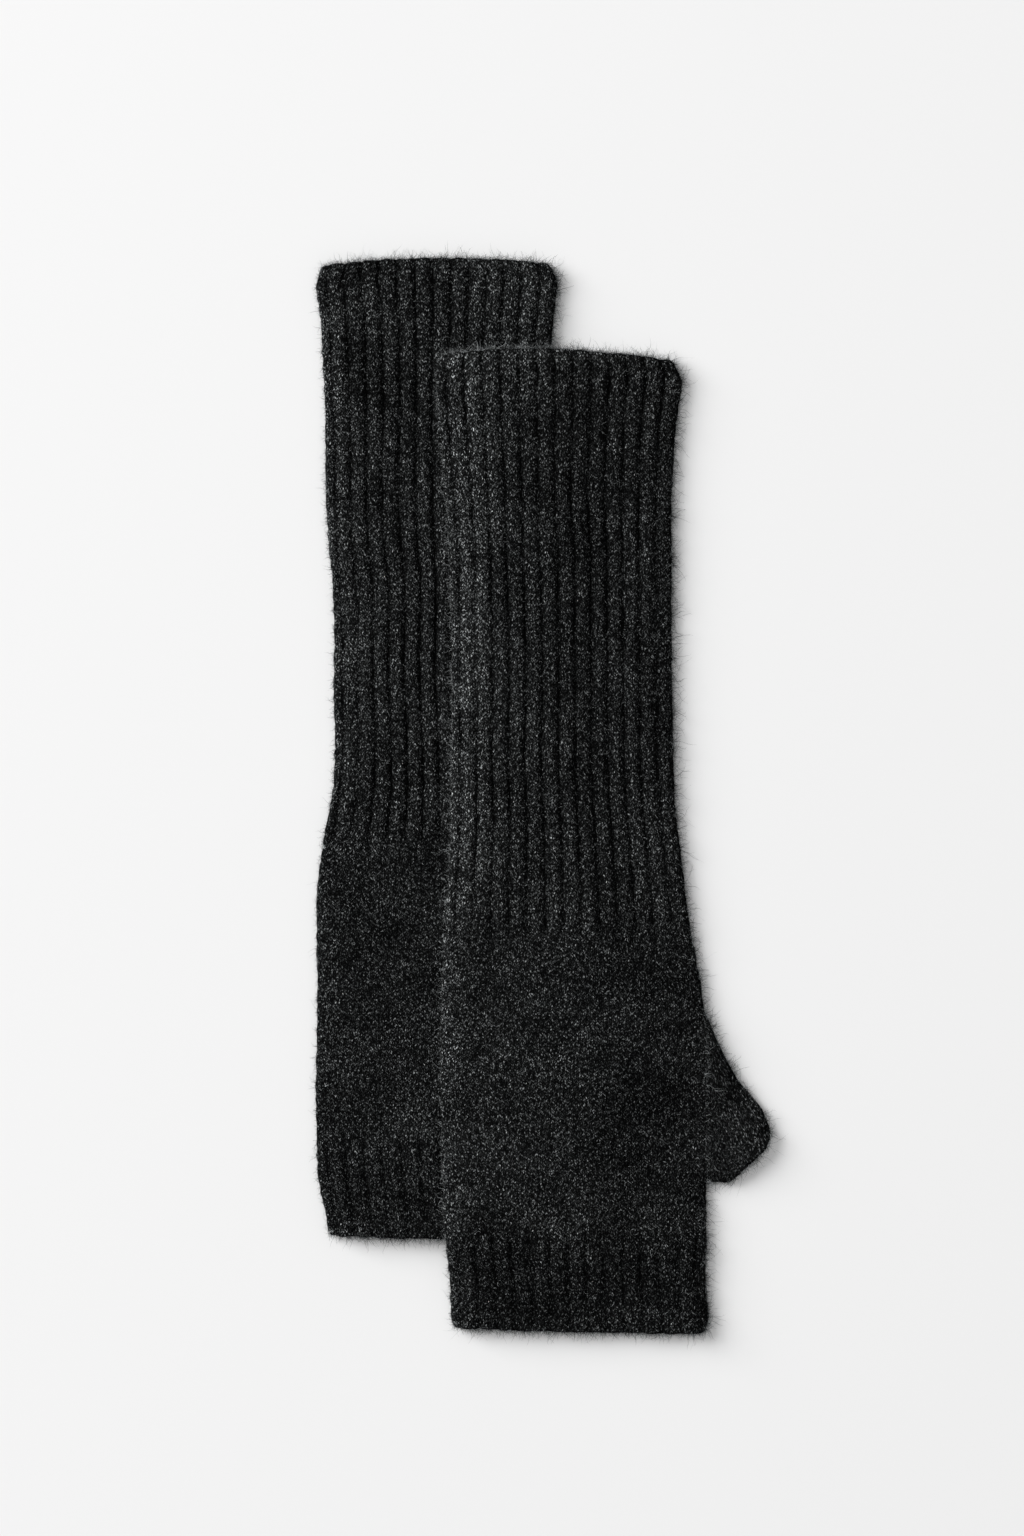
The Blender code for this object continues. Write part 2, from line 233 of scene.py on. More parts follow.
def smooth(value):
    """Ease from 0 to 1."""
    value = np.clip(value, 0.0, 1.0)
    return value * value * (3.0 - 2.0 * value)


def unit(vectors):
    """Vectors scaled to a length of 1."""
    return vectors / np.maximum(np.linalg.norm(vectors, axis=-1, keepdims=True), TINY)


def along(rows, station, column):
    """A column of a table at any station, on a smooth curve through the rows."""
    at = np.array([row.station for row in rows])
    values = np.array([getattr(row, column) for row in rows])
    slopes = np.empty(len(rows))
    slopes[1:-1] = (values[2:] - values[:-2]) / (at[2:] - at[:-2])
    slopes[0] = (values[1] - values[0]) / (at[1] - at[0])
    slopes[-1] = (values[-1] - values[-2]) / (at[-1] - at[-2])
    station = np.clip(station, at[0], at[-1])
    i = np.clip(np.searchsorted(at, station, "right") - 1, 0, len(rows) - 2)
    span = at[i + 1] - at[i]
    t = (station - at[i]) / span
    start_weight = 2 * t ** 3 - 3 * t ** 2 + 1
    start_slope = t ** 3 - 2 * t ** 2 + t
    end_slope = t ** 3 - t ** 2
    return (start_weight * values[i] + (1 - start_weight) * values[i + 1]
            + span * (start_slope * slopes[i] + end_slope * slopes[i + 1]))


LATTICE = 64  # the noise repeats after this many features


def unevenness(x, y, size, seed):
    """Smooth noise between about -1 and 1, with features of the given size."""
    x, y = np.broadcast_arrays(np.asarray(x, float) / size, np.asarray(y, float) / size)
    lattice = np.random.default_rng(seed).uniform(-1.0, 1.0, (LATTICE, LATTICE))
    column = np.floor(x).astype(int)
    row = np.floor(y).astype(int)
    right = smooth(x - column)
    up = smooth(y - row)

    def corner(dx, dy):
        return lattice[(column + dx) % LATTICE, (row + dy) % LATTICE]

    low = corner(0, 0) * (1 - right) + corner(1, 0) * right
    high = corner(0, 1) * (1 - right) + corner(1, 1) * right
    return low * (1 - up) + high * up


def body_height(station):
    """Greatest height of a flattened mitten above what it lies on."""
    fade = smooth(np.minimum(station - ARM_LENGTH, BAND_START - station) / RIB_FADE)
    return RIB_HEIGHT + (PLAIN_HEIGHT - RIB_HEIGHT) * fade


def end_shift(mitten, station, fraction):
    """How far the bowed and tilted end edges move a point along Y."""
    middle = 1.0 - (2.0 * fraction - 1.0) ** 2
    lean = 0.5 - fraction
    arm_share = np.clip(1.0 - station / END_REACH, 0.0, 1.0)
    band_share = np.clip(1.0 - (MITTEN_LENGTH - station) / END_REACH, 0.0, 1.0)
    arm = mitten.arm_bow * middle + mitten.arm_tilt * lean
    band = mitten.band_tilt * lean - mitten.band_bow * middle
    return arm * arm_share + band * band_share


def thumb_root(mitten):
    """Where the thumb's upper edge leaves the hand's own edge, and the crotch where its lower
    edge meets it again, each as a station and the edge's distance from the centre line."""
    stations = np.array([row.station for row in THUMB_SECTIONS])
    reaches = np.array([row.reach for row in THUMB_SECTIONS])
    step = 0.05
    fine = np.arange(stations[0], stations[-1], step)
    over = mitten.thumb_seam + np.interp(fine, stations, reaches)
    root = float(fine[np.argmax(over > along(mitten.sections, fine, "right"))])
    return [(at, float(along(mitten.sections, at, "right"))) for at in (root, CROTCH_STATION)]


def thumb_points(mitten):
    """Upper and lower points of the thumb's sections, the first of them on the hand's edge."""
    (root, root_edge), (crotch, crotch_edge) = thumb_root(mitten)
    furthest = THUMB_SECTIONS[-1].lower_reach
    spare = furthest - (crotch_edge - mitten.thumb_seam)
    upper = [(root_edge + JOIN, root)]
    lower = [(crotch_edge + JOIN, crotch)]
    for row in THUMB_SECTIONS:
        if row.station > root:
            out = spare * row.lower_reach / furthest
            upper.append((mitten.thumb_seam + row.reach, row.station))
            lower.append((crotch_edge + out, crotch))
    place = np.array((mitten.x, mitten.arm_end))
    flip = np.array((1.0, -1.0))
    return place + flip * np.array(upper), place + flip * np.array(lower)


def outline(mitten, past_openings=0.0, step=2.0):
    """The mitten's outline seen from above, thumb included. It can run on past the openings."""
    station = np.linspace(0.0, MITTEN_LENGTH, round(MITTEN_LENGTH / step) + 1)
    left = np.column_stack((
        mitten.x + along(mitten.sections, station, "left"),
        mitten.arm_end - station + end_shift(mitten, station, 0.0)))
    right = np.column_stack((
        mitten.x + along(mitten.sections, station, "right"),
        mitten.arm_end - station + end_shift(mitten, station, 1.0)))
    upper, lower = thumb_points(mitten)
    before = right[right[:, 1] > upper[0, 1]]
    after = right[right[:, 1] < lower[0, 1]]
    tip = [lower[-1]]
    if past_openings:
        for side in (left, right):
            side[0, 1] += past_openings
            side[-1, 1] -= past_openings
        before[0, 1] += past_openings
        after[-1, 1] -= past_openings
        run = upper[-1] - upper[-2]
        tip = [upper[-1] + run * past_openings / math.hypot(*run)]
        tip.append(np.array((tip[0][0], lower[-1][1])))
    return np.vstack((before, upper, tip, after, left[::-1]))


def distance_outside(x, y, edge):
    """Distance from points to a closed outline, negative inside it."""
    nearest = np.full(x.shape, np.inf)
    inside = np.zeros(x.shape, bool)
    for start, end in zip(edge, np.roll(edge, -1, 0)):
        run = end - start
        dx = x - start[0]
        dy = y - start[1]
        share = np.clip((dx * run[0] + dy * run[1]) / (run @ run), 0.0, 1.0)
        nearest = np.minimum(nearest, np.hypot(dx - share * run[0], dy - share * run[1]))
        if start[1] != end[1]:
            crosses = (start[1] > y) != (end[1] > y)
            inside ^= crosses & (x < start[0] + dy * run[0] / run[1])
    return np.where(inside, -nearest, nearest)


class Field:
    """A height over the surface, kept on a grid of 1 mm squares."""

    LOW_X, LOW_Y, WIDE, LONG = -110, -220, 220, 440

    def __init__(self, make):
        x = self.LOW_X + np.arange(self.WIDE, dtype=float)
        y = self.LOW_Y + np.arange(self.LONG, dtype=float)
        self.values = make(*np.meshgrid(x, y, indexing="ij"))

    def blurred(self, times):
        """The same field, made softer."""
        for _ in range(times):
            for axis in (0, 1):
                before = np.roll(self.values, 1, axis)
                after = np.roll(self.values, -1, axis)
                self.values = (before + 2 * self.values + after) / 4
        return self

    def at(self, x, y):
        """The height at any points, between those of the grid."""
        last = 1.001        # keeps the next grid point inside the grid
        u = np.clip(x - self.LOW_X, 0, self.WIDE - last)
        v = np.clip(y - self.LOW_Y, 0, self.LONG - last)
        i = u.astype(int)
        j = v.astype(int)
        u = u - i
        v = v - j
        f = self.values
        return ((f[i, j] * (1 - u) + f[i + 1, j] * u) * (1 - v)
                + (f[i, j + 1] * (1 - u) + f[i + 1, j + 1] * u) * v)


FRONT_OUTSIDE = Field(lambda x, y: distance_outside(x, y, outline(FRONT)))
DRAPE_BLUR = 6


def front_drape(x, y):
    """Height of the surface that the front mitten's underside lies on."""
    away = distance_outside(x, y, outline(BACK))
    fall = smooth((away + DRAPE_INSET) / DRAPE_RUN)
    return (body_height(BACK.arm_end - y) + LAP_GAP) * (1.0 - fall)


DRAPE = {"back": Field(lambda x, y: 0.0 * x), "front": Field(front_drape).blurred(DRAPE_BLUR)}


def crease_height(creases, x, y):
    """Height of the soft ridges and troughs at a point."""
    total = np.zeros(x.shape)
    for crease in creases:
        run = np.array((crease.x2 - crease.x1, crease.y2 - crease.y1))
        dx = x - crease.x1
        dy = y - crease.y1
        share = np.clip((dx * run[0] + dy * run[1]) / (run @ run), 0.0, 1.0)
        away = np.hypot(dx - share * run[0], dy - share * run[1])
        total += crease.height * np.exp(-(away / crease.width) ** 2)
    return total


CREASES = {
    "back": Field(lambda x, y: crease_height(BACK_CREASES, x, y)),
    "front": Field(lambda x, y: crease_height(FRONT_CREASES, x, y)),
}
# Painted light and shade on the upper layers, kept on a grid
PAINTED_LIGHT = {
    "back": Field(lambda x, y: crease_height(BACK_PAINTED_LIGHT, x, y)),
    "front": Field(lambda x, y: crease_height(FRONT_PAINTED_LIGHT, x, y)),
}


# ---- Surfaces ----

# The upper layer rounds down to this outline, which runs on past the openings.
PAST_OPENINGS = 25.0
CROWN_OUTLINE = {m.name: outline(m, PAST_OPENINGS) for m in (BACK, FRONT)}


def inside_fold(mitten, x, y):
    """Distance from a point in to the nearest side fold."""
    return np.maximum(-distance_outside(x, y, CROWN_OUTLINE[mitten.name]), 0.0)


def crown(inside, full):
    """Height of an upper layer, which rounds down to the folds."""
    reach = np.minimum(inside, FOLD_ROUND) / FOLD_ROUND
    return WALL + (full - WALL) * np.sqrt(np.clip(1.0 - (1.0 - reach) ** 2, 0.0, 1.0))


def rib_wave(mitten, station, fraction):
    """Crests (1) and valleys (0) of the ribs, and how strong the ribs are."""
    in_band = station > ARM_LENGTH + HAND_LENGTH / 2
    ribs = np.where(in_band, BAND_RIBS, ARM_RIBS)
    past = np.where(in_band, BAND_START - station, station - ARM_LENGTH)
    strength = 1.0 - smooth(past / RIB_TAIL)
    x = fraction * NOMINAL_WIDTH
    wander = RIB_WANDER * unevenness(x, station, WANDER_SIZE, mitten.seed) / NOMINAL_WIDTH
    wave = np.abs(np.sin(np.pi * ((fraction + wander) * ribs - 0.5))) ** RIB_ROUNDNESS
    uneven = 1.0 + RIB_UNEVEN * unevenness(x, station, UNEVEN_SIZE, mitten.seed + 1)
    depth = np.where(in_band, BAND_DEPTH, 1.0)
    return wave, strength * uneven * depth


def upper_relief(mitten, x, y):
    """Creases and lumps of an upper layer."""
    relief = CREASES[mitten.name].at(x, y)
    relief = relief + LUMP * unevenness(x, y, LUMP_SIZES[0], mitten.seed + 2)
    return relief + 0.5 * LUMP * unevenness(x, y, LUMP_SIZES[1], mitten.seed + 3)


def lay(mitten, x, y, turn, drop, full, dip):
    """Heights of an outer face: crowned above, and as given by drop below."""
    inside = inside_fold(mitten, x, y)
    level = np.clip(inside / FOLD_ROUND, 0.0, 1.0)
    ribs = np.clip(inside / RIB_START, 0.0, 1.0) * dip
    top = crown(inside, full) - ribs + upper_relief(mitten, x, y) * level
    return np.where(turn <= 1.0, top, drop) + DRAPE[mitten.name].at(x, y)


# A piece's place: its first and last station, and functions of a station and, for some, of the
# distance across it. ground gives points seen from above. lip_way points out of an end.
Place = namedtuple("Place", "ends width ground full ribs wales lip_way")


def corner_pull(from_fold, radius):
    """How far an opening's edge draws back near a rounded corner."""
    out = 1.0 - np.clip(from_fold / radius, 0.0, 1.0)
    return radius * (1.0 - np.sqrt(1.0 - out ** 2))


def body_place(mitten, start, end):
    """The place of an arm, hand or band."""
    (root, root_edge), (crotch, crotch_edge) = thumb_root(mitten)

    def edges(station):
        stray = EDGE_WANDER * unevenness(0.0, station, LEFT_SIZE, mitten.seed + 4)
        left = along(mitten.sections, station, "left") + stray
        stray = EDGE_WANDER * unevenness(RIGHT_START, station, RIGHT_SIZE, mitten.seed + 5)
        right = along(mitten.sections, station, "right") + stray
        seam = np.interp(station, (root, crotch), (root_edge, crotch_edge))
        return left, np.where((station > root) & (station < crotch), seam, right)

    def width(station):
        left, right = edges(station)
        return right - left

    def ground(station, across):
        left, right = edges(station)
        wide = right - left
        pull = corner_pull(np.minimum(across, wide - across), CORNER)
        to_arm_end = np.clip(1.0 - station / CORNER_REACH, 0.0, 1.0)
        to_band_end = np.clip(1.0 - (MITTEN_LENGTH - station) / CORNER_REACH, 0.0, 1.0)
        y = mitten.arm_end - station + end_shift(mitten, station, across / wide)
        return mitten.x + left + across, y + pull * (to_band_end - to_arm_end)

    def ribs(station, across):
        wave, strength = rib_wave(mitten, station, across / width(station))
        return (1.0 - wave) * strength

    def wales(station, across, upper):
        fraction = across / width(station)
        return WALES * np.where(upper, fraction, 2.0 - fraction)

    return Place((start, end), width, ground, body_height, ribs, wales,
                 lambda sign: (0.0, -sign, 0.0))


def thumb_place(mitten):
    """The place of a thumb. Its stations are measured along it from the seam."""
    upper, lower = thumb_points(mitten)
    run = upper[-1] - lower[-1]
    way = np.array((run[1], -run[0])) / math.hypot(*run)
    tip_way = unit(upper[-1] - upper[-2])
    heel_way = unit(lower[-1] - lower[-2])
    upper[-1] += THUMB_EASE * tip_way
    middle = (upper + lower) / 2
    steps = np.hypot(*(middle[1:] - middle[:-1]).T)
    rows = np.concatenate(([0.0], np.cumsum(steps)))
    length = rows[-1]

    def edge(points, station):
        return np.stack([np.interp(station, rows, points[:, i]) for i in (0, 1)], -1)

    def width(station):
        return np.hypot(*np.moveaxis(edge(lower, station) - edge(upper, station), -1, 0))

    def ground(station, across):
        start = edge(upper, station)
        run = edge(lower, station) - start
        wide = np.hypot(run[..., 0], run[..., 1])
        point = start + run * (across / wide)[..., None]
        to_end = np.clip(1.0 - (length - station) / CORNER_REACH, 0.0, 1.0)
        point = point - tip_way * (corner_pull(across, THUMB_TIP) * to_end)[..., None]
        point = point - heel_way * (corner_pull(wide - across, THUMB_HEEL) * to_end)[..., None]
        return point[..., 0], point[..., 1]

    def wales(station, across, upper):
        return np.where(upper, across, 2 * width(station) - across) / THUMB_WALE

    return Place((0.0, length), width, ground,
                 lambda station: np.full(np.shape(station), PLAIN_HEIGHT),
                 lambda station, across: np.zeros(np.shape(station)),
                 wales, lambda sign: (way[0], way[1], 0.0))


# ---- Walls ----

# An outer or inner face as a grid of points, a row for each section, closed round the tube.
# turn runs from 0 to 1 over the upper layer and from 1 to 2 back under it. wale and course
# place the stitches, and the last two fields hold painted shade and painted light on them.
Face = namedtuple("Face", "points turn wale course valley nap")


def outer_face(mitten, place, stations, top_columns):
    """The outer face of a piece."""
    width = place.width(stations)[:, None]
    bend = np.linspace(0.0, np.pi / 2, FOLD_COLUMNS)
    fold = FOLD_ROUND * (1.0 - np.cos(bend))
    share = np.linspace(0.0, 1.0, top_columns - 2 * FOLD_COLUMNS + 2)[1:-1]
    reach = np.minimum(FOLD_ROUND, width / FOLD_MOST) / FOLD_ROUND
    near = fold * reach
    middle = FOLD_ROUND * reach + (width - 2 * FOLD_ROUND * reach) * share
    top = np.concatenate((near, middle, width - near[:, ::-1]), 1)
    tuck = np.linspace(0.0, np.pi / 2, TUCK_COLUMNS + 2)[1:-1]
    inset = WALL * (1.0 - np.cos(tuck)) + 0.0 * width
    drop = WALL * (1.0 - np.sin(tuck)) + 0.0 * width
    low = width - WALL - (width - 2 * WALL) * np.linspace(0.0, 1.0, LOW_COLUMNS)
    across = np.concatenate((top, width - inset, low, inset[:, ::-1]), 1)
    turn = np.concatenate((top / width, 1 + inset / width, 2 - low / width,
                           2 - inset[:, ::-1] / width), 1)
    height = np.concatenate((0 * top, drop, 0 * low, drop[:, ::-1]), 1)
    station = stations[:, None] + 0.0 * turn
    x, y = place.ground(station, across)
    valley = place.ribs(station, across)
    dip = (RIB_RISE + RIB_SINK) * valley
    z = lay(mitten, x, y, turn, height, place.full(station), dip)
    # painted shade: darker in the rib valleys, and over all of the lower layer
    shade = np.where(turn <= 1.0, np.clip(VALLEY_GAIN * valley, 0.0, 1.0), UNDER_SHADE)
    wale = place.wales(station, across, turn <= 1.0)
    # painted light and shade, on the upper layer only
    nap = np.where(turn <= 1.0, PAINTED_LIGHT[mitten.name].at(x, y), 0.0)
    return Face(np.stack((x, y, z), -1), turn, wale, station / COURSE, shade, nap)


def inner_face(mitten, place, stations):
    """The inner face of a piece, round its thin hollow."""
    width = place.width(stations)[:, None]
    ends = WALL + HOLLOW / 2
    top = ends + (width - 2 * ends) * np.linspace(0.0, 1.0, INNER_COLUMNS)
    side = WALL + 0.0 * width
    across = np.concatenate((side, top, width - side, top[:, ::-1]), 1)
    turn = np.concatenate((side / width, top / width, 1 + 0 * side, 2 - top[:, ::-1] / width), 1)
    level = WALL + 0.0 * top
    height = np.concatenate((side + HOLLOW / 2, level + HOLLOW, side + HOLLOW / 2, level), 1)
    station = stations[:, None] + 0.0 * turn
    x, y = place.ground(station, across)
    z = height + DRAPE[mitten.name].at(x, y)
    wale = place.wales(station, across, turn <= 1.0)
    # painted shade on the inner faces
    shade = np.full(x.shape, INNER_SHADE)
    return Face(np.stack((x, y, z), -1), turn, wale, station / COURSE, shade, 0.0 * shade)


def lip(outer, inner, row, way):
    """Rings that carry a rim round from the outer face towards the inner one."""
    turn = outer.turn[row]
    facing = np.stack([np.interp(turn, inner.turn[row], inner.points[row, :, i], period=2.0)
                       for i in range(3)], -1)
    start = outer.points[row]
    middle = (start + facing) / 2
    reach = LIP * (1.0 - RIM_NOTCH * outer.valley[row])
    reach = reach + RIM_WANDER * unevenness(turn * RIM_SPAN, 0.0, RIM_SIZE, RIM_SEED)
    sign = 1 if row else -1
    rings = []
    for angle in np.linspace(0.0, LIP_TURN, LIP_RINGS + 1)[1:]:
        out = reach[:, None] * np.array(way(sign)) * math.sin(angle)
        points = middle + (start - middle) * math.cos(angle) + out
        course = outer.course[row] + sign * LIP / COURSE * angle
        rings.append(Face(points, turn, outer.wale[row], course, outer.valley[row],
                          outer.nap[row]))
    return rings


def with_lips(outer, inner, place, open_ends):
    """An outer face with rounded rims at its open ends."""
    before = lip(outer, inner, 0, place.lip_way)[::-1] if open_ends[0] else []
    after = lip(outer, inner, -1, place.lip_way) if open_ends[1] else []

    def stack(name):
        grid = getattr(outer, name)
        parts = [getattr(ring, name)[None] for ring in before] + [grid]
        return np.concatenate(parts + [getattr(ring, name)[None] for ring in after])

    return Face(*(stack(name) for name in Face._fields))


# ---- Meshes ----

# The map that finishes are baked to
OUTER_STRIP = (0.0, 0.84)  # left side and width of the outer face's strip
INNER_STRIP = (0.87, 0.12)
STRIP_TURNS = 2.3
STRIP_LOW = 0.05
STRIP_TALL = 0.9
CLOSING_ROWS = ((0, (0.035, 0.0)), (-1, (0.965, 1.0)))  # of the triangles at a wall's ends

# Faces with the values at their corners: stitch and bake are the two UV maps.
Faces = namedtuple("Faces", "corners stitch bake")


def grid_faces(face, first, strip):
    """Quads of a face whose points are numbered from first."""
    rows, columns = face.turn.shape
    index = first + np.arange(rows * columns).reshape(rows, columns)
    far_index = np.concatenate((index, index[:, :1]), 1)
    far_turn = np.concatenate((face.turn, face.turn[:, :1] + 2.0), 1)
    far_wale = np.concatenate((face.wale, 2 * face.wale[:, -1:] - face.wale[:, -2:-1]), 1)
    far_course = np.concatenate((face.course, face.course[:, :1]), 1)
    bake_u = strip[0] + strip[1] * far_turn / STRIP_TURNS
    share = np.arange(rows)[:, None] / (rows - 1)
    bake_v = STRIP_LOW + STRIP_TALL * share + 0.0 * far_turn

    def quads(grid):
        corners = (grid[:-1, :-1], grid[:-1, 1:], grid[1:, 1:], grid[1:, :-1])
        return np.stack(corners, -1).reshape(-1, 4)

    stitch = np.stack((quads(far_wale), quads(far_course)), -1)
    bake = np.stack((quads(bake_u), quads(bake_v)), -1)
    return Faces(quads(far_index), stitch, bake)


def zip_faces(outer, outer_turn, inner, inner_turn, course, bake_rows):
    """Triangles that close the end of a wall between its outer and inner loop."""
    outer_far = np.append(outer_turn, outer_turn[0] + 2.0)
    inner_far = np.append(inner_turn, inner_turn[0] + 2.0)
    corners = []
    places = []
    i = 0
    j = 0
    while i < len(outer) or j < len(inner):
        start = (outer[i % len(outer)], outer_far[i], bake_rows[0])
        facing = (inner[j % len(inner)], inner_far[j], bake_rows[1])
        if j >= len(inner) or (i < len(outer) and outer_far[i + 1] <= inner_far[j + 1]):
            i += 1
            following = (outer[i % len(outer)], outer_far[i], bake_rows[0])
        else:
            j += 1
            following = (inner[j % len(inner)], inner_far[j], bake_rows[1])
        corners.append([start[0], following[0], facing[0]])
        places.append([start[1:], following[1:], facing[1:]])
    places = np.array(places)
    stitch = np.stack((places[..., 0] * WALES, np.full(places.shape[:2], course)), -1)
    bake_u = OUTER_STRIP[1] * places[..., 0] / STRIP_TURNS
    bake = np.stack((bake_u, places[..., 1]), -1)
    return Faces(np.array(corners), stitch, bake)


def new_mesh(name, points, groups, values):
    """A smooth mesh from points in millimetres and groups of faces. values are numbers kept
    at its points."""
    mesh = bpy.data.meshes.new(name)
    corners = np.concatenate([group.corners.reshape(-1) for group in groups])
    sizes = np.concatenate([np.full(len(g.corners), g.corners.shape[1]) for g in groups])
    mesh.vertices.add(len(points))
    mesh.vertices.foreach_set("co", (points * MM).reshape(-1).astype(np.float32))
    mesh.loops.add(len(corners))
    mesh.loops.foreach_set("vertex_index", corners.astype(np.int32))
    mesh.polygons.add(len(sizes))
    starts = np.concatenate(([0], np.cumsum(sizes)[:-1]))
    mesh.polygons.foreach_set("loop_start", starts.astype(np.int32))
    mesh.polygons.foreach_set("loop_total", sizes.astype(np.int32))
    for layer, field in (("OFBake", "bake"), ("stitches", "stitch")):
        places = [getattr(group, field) for group in groups]
        if places[0] is None:
            continue
        flat = np.concatenate([place.reshape(-1) for place in places])
        mesh.uv_layers.new(name=layer).data.foreach_set("uv", flat.astype(np.float32))
    for key, numbers in values.items():
        kept = mesh.attributes.new(key, "FLOAT", "POINT")
        kept.data.foreach_set("value", numbers.astype(np.float32))
    mesh.update(calc_edges=True)
    mesh.polygons.foreach_set("use_smooth", np.ones(len(sizes), bool))
    return mesh


def outward(mesh):
    """Turn a closed mesh's faces outwards."""
    shape = bmesh.new()
    shape.from_mesh(mesh)
    bmesh.ops.recalc_face_normals(shape, faces=shape.faces)
    shape.to_mesh(mesh)
    shape.free()


def sharpen(mesh, points):
    """Keep the edges between these points sharp."""
    marked = np.zeros(len(mesh.vertices), bool)
    marked[points] = True
    ends = np.empty(2 * len(mesh.edges), np.int32)
    mesh.edges.foreach_get("vertices", ends)
    sharp = mesh.attributes.new("sharp_edge", "BOOLEAN", "EDGE")
    sharp.data.foreach_set("value", marked[ends.reshape(-1, 2)].all(1))


def wall_mesh(name, outer, inner, open_ends):
    """A closed wall between an outer and an inner face."""
    points = np.concatenate((outer.points.reshape(-1, 3), inner.points.reshape(-1, 3)))
    looks = {key: np.concatenate([getattr(face, key).reshape(-1) for face in (outer, inner)])
             for key in ("valley", "nap")}
    first_inner = outer.turn.size
    outer_index = np.arange(first_inner).reshape(outer.turn.shape)
    inner_index = first_inner + np.arange(inner.turn.size).reshape(inner.turn.shape)
    groups = [grid_faces(outer, 0, OUTER_STRIP), grid_faces(inner, first_inner, INNER_STRIP)]
    for row, bake_rows in CLOSING_ROWS:
        groups.append(zip_faces(outer_index[row], outer.turn[row], inner_index[row],
                                inner.turn[row], outer.course[row, 0], bake_rows))
    mesh = new_mesh(name, points, groups, looks)
    outward(mesh)
    closed = [row for row, is_open in zip((0, -1), open_ends) if not is_open]
    if closed:
        rings = [index[row] for row in closed for index in (outer_index, inner_index)]
        sharpen(mesh, np.concatenate(rings))
    return mesh


def add_piece(name, mesh, material):
    """An object that rides with the part."""
    item = bpy.data.objects.new(name, mesh)
    bpy.context.scene.collection.objects.link(item)
    mesh.materials.append(material)
    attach(item, "root")
    return item


# ---- Fuzz ----

FUZZ_DENSITY = 0.40  # short fibres on a square millimetre of the upper face
EDGE_DENSITY = 5.0  # more of them where the cloth turns down at folds and rims
LONG_SHARE = 0.30  # long curled fibres, as a share of those at the edges
LEE_HAIR = 0.35  # hairs are longer by this share at the thumb side
SHORT_LENGTH = (0.6, 1.5)  # least and most, on the upper face
EDGE_LONGER = 1.0  # the most is this much more at an edge
LONG_LENGTH = (1.4, 3.4)
STAND = 0.3  # how steeply a fibre stands, against how far it leans
EDGE_STAND = 0.55  # more than that at an edge, where it varies down to a fifth
LONG_STAND = 0.3  # and more for a long one
EDGE_LEAN = 0.45  # share by which a fibre leans less at an edge
TONES = (0.02, 0.98)  # darkest and palest
EDGE_TONE = 0.3  # the darkest is this much paler at an edge
EDGE_START = 0.62  # the upright part of the cloth's normal where an edge starts
EDGE_SPAN = 0.3  # and how much less it is where the edge is full
UNDERSIDE = -0.45  # no fibres on cloth that faces down more than this
COVERED = 0.8  # nor this far in under the front mitten
ROOT_DEPTH = 0.08
FIBRE_SIDES = 3
FIBRE_TAPER = 0.7  # share of its radius that a fibre loses towards its tip
FIBRE_WAVE = 0.2  # sideways wave, as a share of the curl
FIBRE_TWIST = (3.0, 7.0)  # how far the wave turns along a fibre
MAP_NUDGE = 0.004  # keeps a fibre's corners apart on its map

FLOOR_CLEAR = 0.03  # least height of a fibre's points, stepped so that few meet on the floor
CLEAR_STEP = 0.01
CLEAR_SPAN = 0.05
Fibre = namedtuple("Fibre", "radius rings curl")  # rings are those of its points
SHORT = Fibre(0.065, 2, 0.8)
LONG = Fibre(0.08, 6, 1.7)


def fibres(roots, ways, lengths, tone, kind):
    """Tapered fibres as closed strands, each a small mesh of its own within one mesh."""
    radius, rings, curl = kind
    count = len(roots)
    side = unit(np.cross(ways, rng.normal(size=(count, 3))))
    other = np.cross(ways, side)
    bend = rng.uniform(-1.0, 1.0, (count, 1)) * side + rng.uniform(-1.0, 1.0, (count, 1)) * other
    spin = rng.uniform(0.0, 2 * np.pi, count)
    twist = rng.uniform(*FIBRE_TWIST, count)
    rows = []
    for ring in range(rings):
        t = ring / rings
        wave = FIBRE_WAVE * curl * lengths * np.sin(spin + twist * t) * t
        centre = (roots + ways * (lengths * t)[:, None]
                  + bend * (curl * lengths * t * t)[:, None] + side * wave[:, None])
        for corner in range(FIBRE_SIDES):
            angle = 2 * np.pi * corner / FIBRE_SIDES
            around = side * math.cos(angle) + other * math.sin(angle)
            rows.append(centre + around * radius * (1.0 - FIBRE_TAPER * t))
    tip = (roots + ways * lengths[:, None] + bend * (curl * lengths)[:, None])
    points = np.stack(rows + [tip], 1)
    least = FLOOR_CLEAR + (CLEAR_STEP * np.arange(points.shape[1])) % CLEAR_SPAN
    points[..., 2] = np.maximum(points[..., 2], least)
    first = np.arange(count)[:, None] * points.shape[1]
    groups = []

    def add(corners, places):
        """One face of every fibre. places are its corners' side and ring on the map."""
        places = np.array(places, float)
        u = tone[:, None] + MAP_NUDGE * places[:, 0]
        v = places[:, 1] / (rings + 1) + MAP_NUDGE * (places[:, 0] == 1)
        bake = np.stack((u, v + 0.0 * u), -1)
        groups.append(Faces(first + np.array(corners), None, bake))

    add((2, 1, 0), ((2, 0), (1, 0), (0, 0)))
    for ring in range(rings - 1):
        for corner in range(FIBRE_SIDES):
            a = ring * FIBRE_SIDES + corner
            b = ring * FIBRE_SIDES + (corner + 1) % FIBRE_SIDES
            add((a, b, b + FIBRE_SIDES, a + FIBRE_SIDES),
                ((corner, ring), (corner + 1, ring), (corner + 1, ring + 1), (corner, ring + 1)))
    top = (rings - 1) * FIBRE_SIDES
    for corner in range(FIBRE_SIDES):
        following = (corner + 1) % FIBRE_SIDES
        add((top + corner, top + following, rings * FIBRE_SIDES),
            ((corner, rings - 1), (corner + 1, rings - 1), (corner + 0.5, rings)))
    return points.reshape(-1, 3), groups


